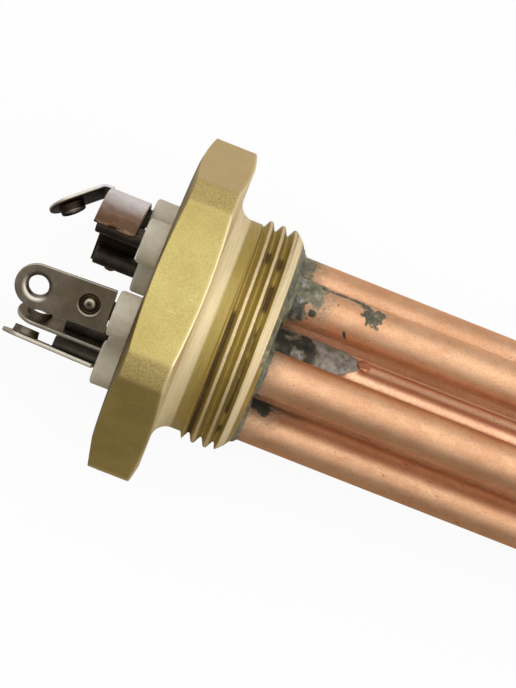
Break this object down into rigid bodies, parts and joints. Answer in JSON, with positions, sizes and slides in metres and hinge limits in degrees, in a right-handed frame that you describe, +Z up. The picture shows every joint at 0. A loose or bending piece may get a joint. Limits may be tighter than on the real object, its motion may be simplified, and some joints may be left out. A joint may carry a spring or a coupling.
{
  "type": "screw plug immersion heater",
  "caption": "Brass hexagon screw plug with copper-sheathed hairpin heating elements, a thermostat pocket and star-linked terminal lugs, for heating liquid in a tank.",
  "frame": {"origin": "centre of the hexagon's sealing face, on the thread axis", "axes": "+X along the thread axis from the plug into the vessel, +Z up, hairpins lie parallel to the XY plane"},
  "size_m": [0.2719, 0.063, 0.0584],
  "materials": {
    "plug_brass": "satin",
    "sheath_copper": "satin copper",
    "pocket_copper": "satin copper",
    "braze": "dull grey braze",
    "magnesia": "pressed powder",
    "coil_wire": "drawn wire",
    "insulator_ceramic": "matt",
    "pin_steel": "plated",
    "lug_steel": "plated",
    "link_steel": "plated, heat tinted"
  },
  "bodies": {
    "root": {"screw_plug": "plug_brass", "thermostat_pocket": "pocket_copper", "braze_rings": "braze", "sheath_upper": "sheath_copper", "magnesia_upper": "magnesia", "coil_upper": "coil_wire", "sheath_middle": "sheath_copper", "magnesia_middle": "magnesia", "coil_middle": "coil_wire", "sheath_lower": "sheath_copper", "magnesia_lower": "magnesia", "coil_lower": "coil_wire", "insulator_1": "insulator_ceramic", "insulator_2": "insulator_ceramic", "insulator_3": "insulator_ceramic", "insulator_4": "insulator_ceramic", "insulator_5": "insulator_ceramic", "insulator_6": "insulator_ceramic", "pin_1": "pin_steel", "pin_2": "pin_steel", "pin_3": "pin_steel", "pin_4": "pin_steel", "pin_5": "pin_steel", "pin_6": "pin_steel", "phase_lug_1": "lug_steel", "phase_lug_2": "lug_steel", "phase_lug_3": "lug_steel", "star_link": "link_steel"}
  },
  "joints": []
}
